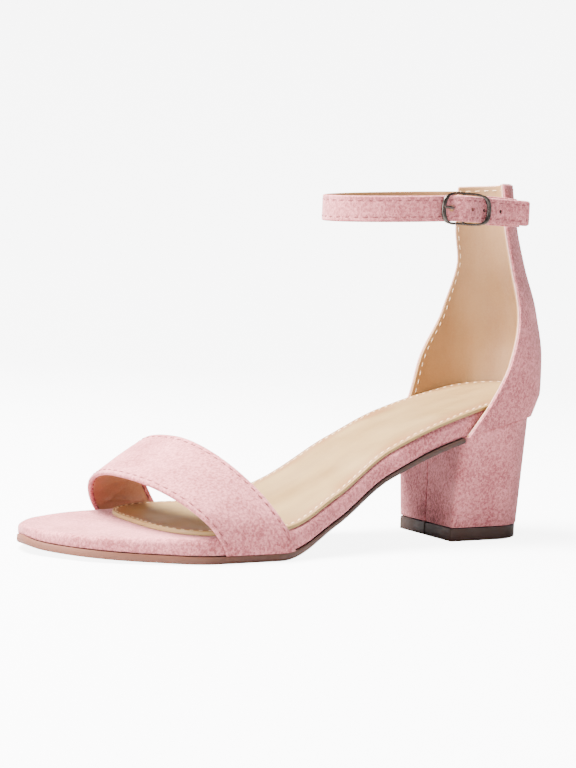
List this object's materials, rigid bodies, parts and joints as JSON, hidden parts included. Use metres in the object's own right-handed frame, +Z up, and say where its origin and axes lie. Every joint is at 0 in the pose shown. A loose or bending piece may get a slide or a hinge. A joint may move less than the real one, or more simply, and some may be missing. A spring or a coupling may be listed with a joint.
{
  "type": "block heel sandal",
  "caption": "Open-toe block heel sandal with a wide band over the toes, a closed counter at the back and a narrow ankle strap with a buckle.",
  "frame": {"origin": "middle of the heel tip's tread, on the floor", "axes": "+X from the toe to the heel, so that the toe points along -X; -Y to the outer side of the foot; +Z up"},
  "size_m": [0.2461, 0.084, 0.1571],
  "materials": {
    "pink_suede": "soft suede with a short matt nap",
    "lining_beige": "brushed lining of the counter and the ankle strap",
    "lining_brown": "smooth tan lining of the toe band",
    "insole_tan": "smooth padded sock with a faint sheen",
    "outsole_brown": "matt moulded sheet",
    "heel_tip_brown": "satin moulded top piece",
    "thread": "twisted sewing thread",
    "buckle_metal": "polished dark nickel"
  },
  "bodies": {
    "root": {"outsole": "outsole_brown", "midsole": "pink_suede", "insole": "insole_tan", "heel": "pink_suede", "heel_tip": "heel_tip_brown", "vamp_strap": "pink_suede", "counter": "pink_suede", "ankle_strap": "pink_suede", "buckle_tab": "pink_suede", "buckle_frame": "buckle_metal", "buckle_prong": "buckle_metal"}
  },
  "joints": []
}
